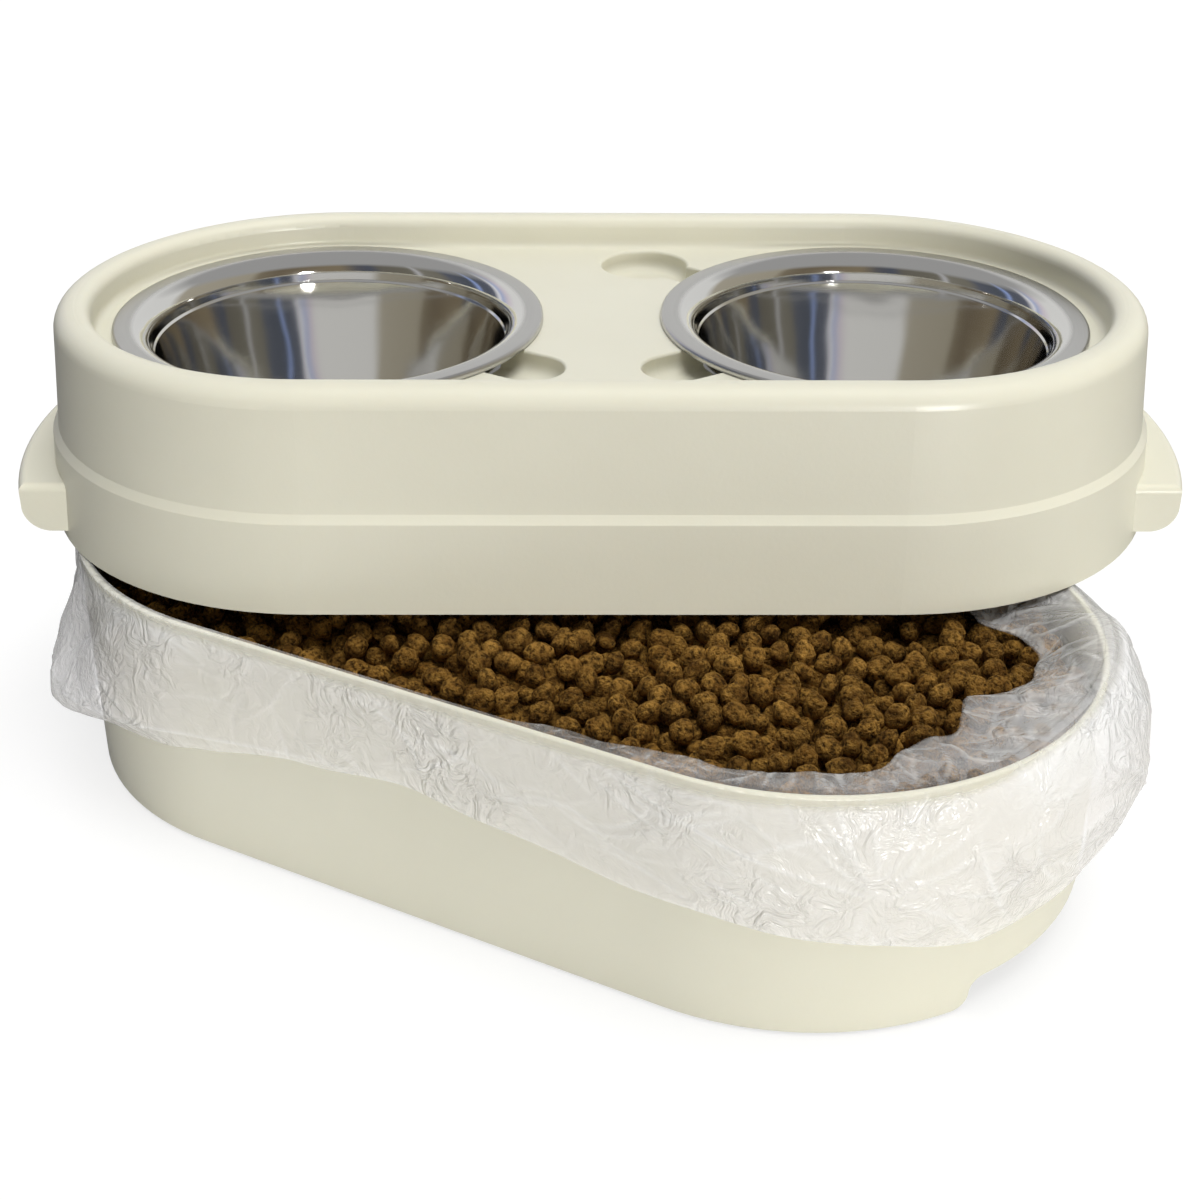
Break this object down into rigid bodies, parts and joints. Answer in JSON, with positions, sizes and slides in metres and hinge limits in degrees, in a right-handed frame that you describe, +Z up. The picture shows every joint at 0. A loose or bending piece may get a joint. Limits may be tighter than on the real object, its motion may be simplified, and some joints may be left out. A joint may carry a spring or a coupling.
{
  "type": "elevated dog feeder",
  "caption": "Moulded feeder tray with lift-out steel bowls, lying turned across a round-ended tub that stores dry food in a folded-over film liner.",
  "frame": {"origin": "centre of the whole feeder's footprint, on the floor", "axes": "+X along the tub's length to the right, +Y to the back, +Z up"},
  "size_m": [0.6035, 0.4472, 0.2339],
  "materials": {
    "ivory_plastic": "satin",
    "bowl_steel": "polished",
    "clear_film": "gloss",
    "dry_food": "matte",
    "foot_rubber": "matte"
  },
  "bodies": {
    "tub": {"storage_tub": "ivory_plastic", "liner_bag": "clear_film", "dog_food": "dry_food", "front_left_foot": "foot_rubber", "front_right_foot": "foot_rubber", "back_left_foot": "foot_rubber", "back_right_foot": "foot_rubber"},
    "tray": {"bowl_tray": "ivory_plastic"},
    "left_bowl": {"left_bowl": "bowl_steel"},
    "right_bowl": {"right_bowl": "bowl_steel"}
  },
  "joints": [
    {"name": "tray_lift", "type": "slide", "parent": "tub", "child": "tray", "axis": [0, 0, 1], "range_m": [0, 0.15]},
    {"name": "left_bowl_lift", "type": "slide", "parent": "tray", "child": "left_bowl", "axis": [0, 0, 1], "range_m": [0, 0.1]},
    {"name": "right_bowl_lift", "type": "slide", "parent": "tray", "child": "right_bowl", "axis": [0, 0, 1], "range_m": [0, 0.1]}
  ]
}
